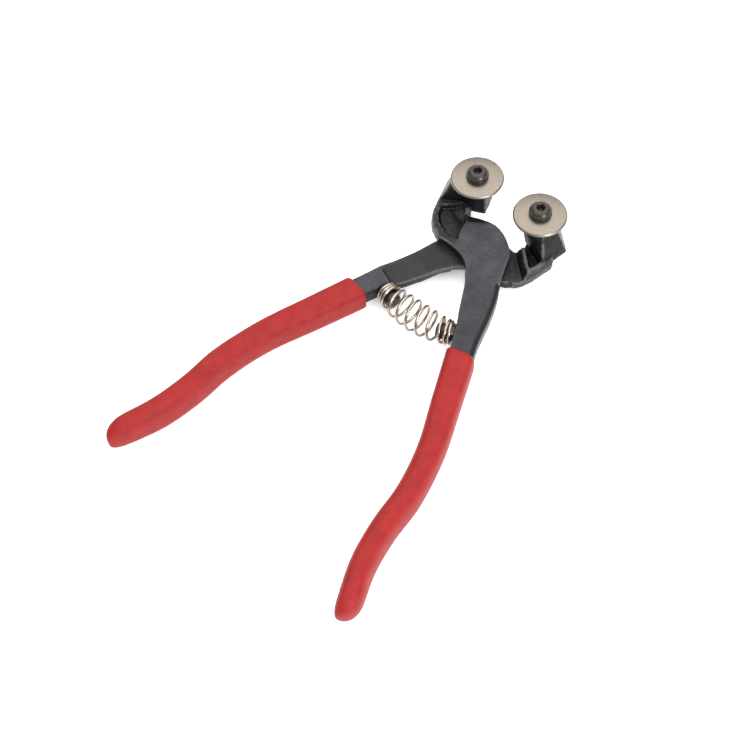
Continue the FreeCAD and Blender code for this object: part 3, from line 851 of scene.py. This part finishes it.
def make_grip(name, side, material):
    """Dipped sleeve: boxy at the cuff where it follows the bar, oval further down, closed at the tip."""
    body = spline(GRIP_STATIONS, RINGS)
    body[:, 0] += GRIP_SHIFT[side]
    body[:, 2] -= GRIP_TRIM[side]
    run = np.gradient(body[:, :2], axis=0)
    run /= np.linalg.norm(run, axis=1)[:, None]
    angles = np.linspace(0, 2 * math.pi, RING_POINTS, endpoint=False)
    rings = []

    def ring(centre, direction, half_width, half_height, power, skew=0.0):
        c, s = np.cos(angles), np.sin(angles)
        reach = (np.abs(c) ** power + np.abs(s) ** power) ** (-1 / power)
        outward = np.array([direction[1], -direction[0]])
        aside = half_width * reach * c
        flat = centre[None, :] + np.outer(aside, outward) + np.outer(skew * aside, direction)
        rings.append(np.column_stack([flat, GRIP_LEVEL[side] + half_height * reach * s]))

    # the cuff's rounded lip starts against the bar, further back on the outer side
    start, first_run = body[0, :2], run[0]
    for back, inset in CUFF_LIP:
        ring(start + first_run * back, first_run, body[0, 2] - inset, body[0, 3] - inset, BOXY, CUFF_SKEW)
    for index in range(2, len(body)):
        share = index / (len(body) - 1)
        power = BOXY - 1.4 * min(share * 2.0, 1)
        skew = CUFF_SKEW * max(0, 1 - index / 14)
        ring(body[index, :2], run[index], body[index, 2], body[index, 3], power, skew)
    # the tip leans towards the other handle
    end, last_run = body[-1, :2], run[-1]
    inward = np.array([-last_run[1], last_run[0]])
    for step in np.linspace(0.06, 1, TIP_RINGS):
        turn = step * math.pi / 2
        shrink = max(math.cos(turn), 0.02)
        ring(end + last_run * TIP_LENGTH[side] * math.sin(turn) + inward * 2.4 * (1 - shrink), last_run,
             body[-1, 2] * shrink ** 0.8, body[-1, 3] * shrink ** 0.7, OVAL)
    points = np.concatenate(rings)
    points[:, 0] *= -side
    points[:, 1] *= -1
    faces = grid_faces(len(rings), len(angles))
    last = (len(rings) - 1) * len(angles)
    faces.append(tuple(range(last, last + len(angles))))
    if side == FRONT:
        faces = [f[::-1] for f in faces]
    return add_mesh(name, points, faces, material)


# ---------------------------------------------------------------- stage

def make_floor():
    low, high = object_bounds()
    material, shader = new_material("floor", (0.92, 0.92, 0.92), 0.9, 0.0, Emission_Strength=0.35)
    shader.inputs["Emission Color"].default_value = (1, 1, 1, 1)
    bpy.ops.mesh.primitive_plane_add(size=6.0, location=(0, 0, low.z - 0.0002))
    floor = bpy.context.object
    floor.name = "floor"
    floor.data.materials.append(material)


def add_light(name, location, size, power):
    """A square light that faces the origin."""
    data = bpy.data.lights.new(name, "AREA")
    data.shape = "SQUARE"
    data.size = size
    data.energy = power
    light = bpy.data.objects.new(name, data)
    light.location = location
    light.rotation_euler = (-Vector(location)).to_track_quat("-Z", "Y").to_euler()
    bpy.context.scene.collection.objects.link(light)


def make_lights():
    """A broad softbox overhead, a dim surround, and a small light from the right for the highlights."""
    scene = bpy.context.scene
    world = bpy.data.worlds.new("studio")
    scene.world = world
    world.use_nodes = True
    world.node_tree.nodes["Background"].inputs["Color"].default_value = (1, 1, 1, 1)
    world.node_tree.nodes["Background"].inputs["Strength"].default_value = 0.68
    add_light("softbox", (-0.2, 0.3, 1.6), 3.2, 81)
    add_light("side_light", (1.0, -0.35, 0.6), 0.35, 12)
    scene.view_settings.view_transform = "Standard"


def make_camera():
    """Camera looking down at the tool from the handles' side, slightly rolled."""
    azimuth, pitch, roll = math.radians(43.16), math.radians(59.30), math.radians(-4.56)
    aim, distance = Vector((4.47, -70.38, 5.0)) * MM, 465.9 * MM
    forward = Vector((-math.sin(azimuth) * math.cos(pitch), math.cos(azimuth) * math.cos(pitch),
                      -math.sin(pitch)))
    level_right = Vector((math.cos(azimuth), math.sin(azimuth), 0))
    level_down = forward.cross(level_right)
    right = level_right * math.cos(roll) - level_down * math.sin(roll)
    down = level_right * math.sin(roll) + level_down * math.cos(roll)
    data = bpy.data.cameras.new("camera")
    data.lens = 59.64
    data.sensor_width = 36.0
    data.clip_end = 20
    camera = bpy.data.objects.new("camera", data)
    axes = Matrix((right, -down, -forward)).transposed()
    camera.matrix_world = Matrix.Translation(aim - forward * distance) @ axes.to_4x4()
    bpy.context.scene.collection.objects.link(camera)
    bpy.context.scene.camera = camera


def main():
    make_camera()
    make_lights()
    steel, plastic = coated_steel(), dipped_plastic()
    wheel_metal, oxide, wire = ground_wheel(), black_oxide(), nickel_wire()
    make_floor()
    for side, word in ((REAR, "rear"), (FRONT, "front")):
        half = word + "_half"
        place(forge_lever(word + "_forging", side, steel), half, word + "_lever")
        place(make_grip(word + "_sleeve", side, plastic), half, word + "_grip")
        place(make_stud(word + "_stud", side, oxide), half, word + "_spring_stud")
        place(make_screw(word + "_screw", side, oxide), half, word + "_wheel_screw")
        disc = make_wheel(word + "_disc", side, wheel_metal)
        place(disc, word + "_wheel", word + "_cutting_wheel")
    place(make_rivet(steel), "rear_half", "pivot_rivet")
    path, first, last = spring_path()
    spring = tube("spring", path, SPRING_WIRE, wire)
    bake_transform(spring)
    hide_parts("return_spring")


main()
